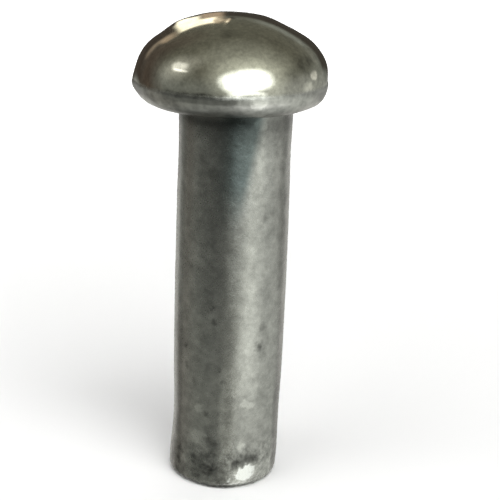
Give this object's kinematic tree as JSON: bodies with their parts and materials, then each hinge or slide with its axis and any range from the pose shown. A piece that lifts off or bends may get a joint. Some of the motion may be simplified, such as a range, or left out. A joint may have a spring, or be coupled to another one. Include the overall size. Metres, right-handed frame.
{
  "type": "rivet",
  "caption": "Solid round-head steel rivet: a plain cylindrical shank under a low domed head, set in a drilled hole by upsetting its free end.",
  "frame": {"origin": "middle of the flat cut end of the shank, on the shank's axis", "axes": "+Z along the shank, from the cut end to the head; -X is the side that the head leans out to; +Y away from the picture's camera"},
  "size_m": [0.0166, 0.0166, 0.0427],
  "materials": {
    "steel": "burnished dome, dull mottled shank and lip"
  },
  "bodies": {
    "root": {"rivet": "steel"}
  },
  "joints": []
}
